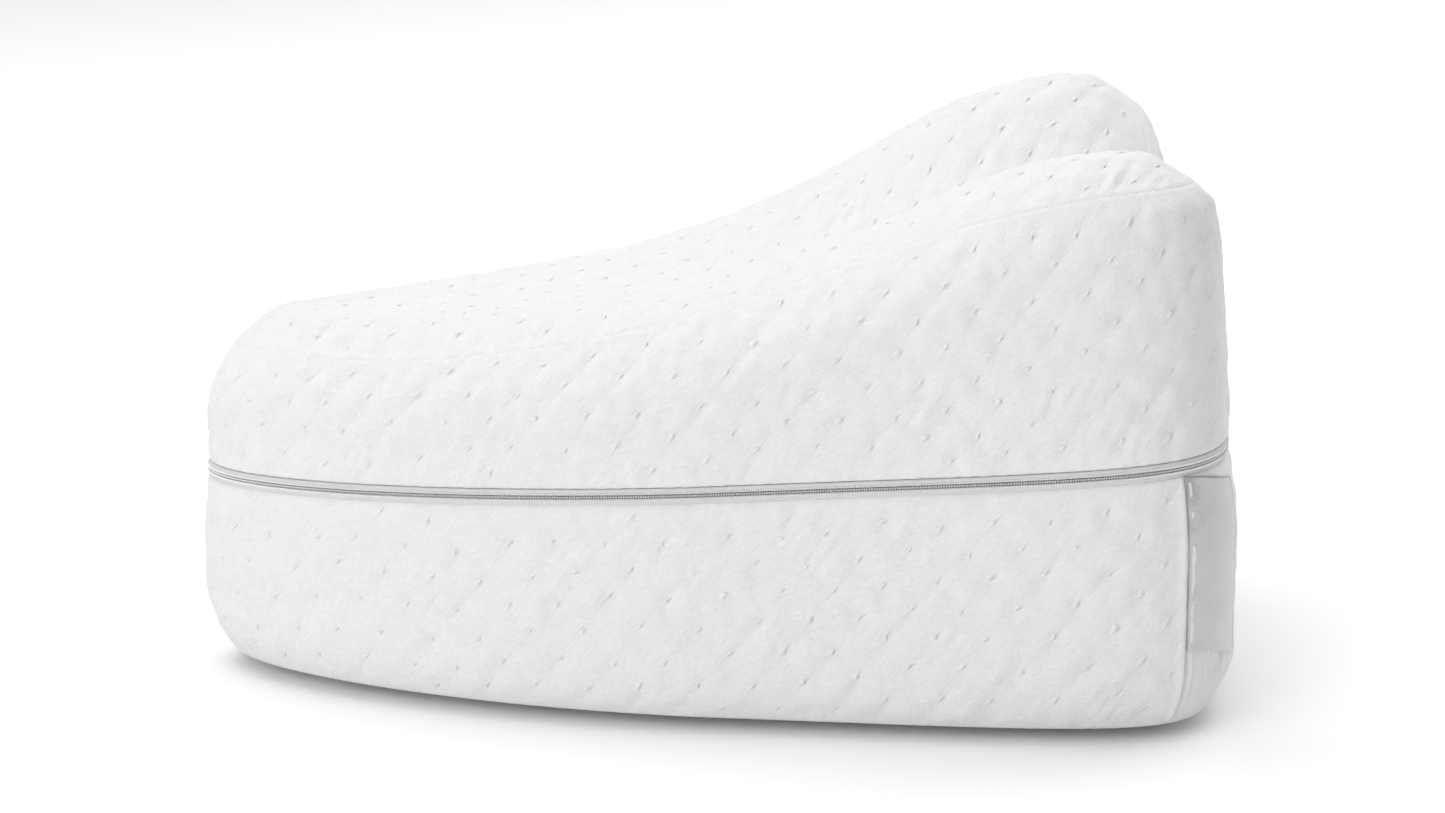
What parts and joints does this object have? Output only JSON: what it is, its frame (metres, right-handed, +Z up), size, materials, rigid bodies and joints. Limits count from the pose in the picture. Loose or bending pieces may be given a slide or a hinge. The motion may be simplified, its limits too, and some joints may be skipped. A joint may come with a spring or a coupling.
{
  "type": "knee pillow",
  "caption": "Filled knee pillow: low round end, high end with two lobes and a leg channel, sewn plush cover, zip round the waist, bare label.",
  "frame": {"origin": "on the resting face, under the middle of the pillow's box", "axes": "+X along the pillow towards the high, two-lobed end; +Z up, away from the resting face; the label is at the +X, -Y corner"},
  "size_m": [0.2536, 0.1676, 0.1394],
  "materials": {
    "cover_plush": "short white plush knit with small tacked dimples",
    "zip_tape": "light grey woven tape with a stitched row",
    "zip_teeth": "satin",
    "zip_slider": "satin light grey enamel",
    "label_satin": "white satin weave with folded edges, bare"
  },
  "bodies": {
    "root": {"cushion": "cover_plush", "zip_tape_upper": "zip_tape", "zip_tape_lower": "zip_tape", "zip_coil": "zip_teeth", "zip_slider": "zip_slider", "label": "label_satin"}
  },
  "joints": []
}
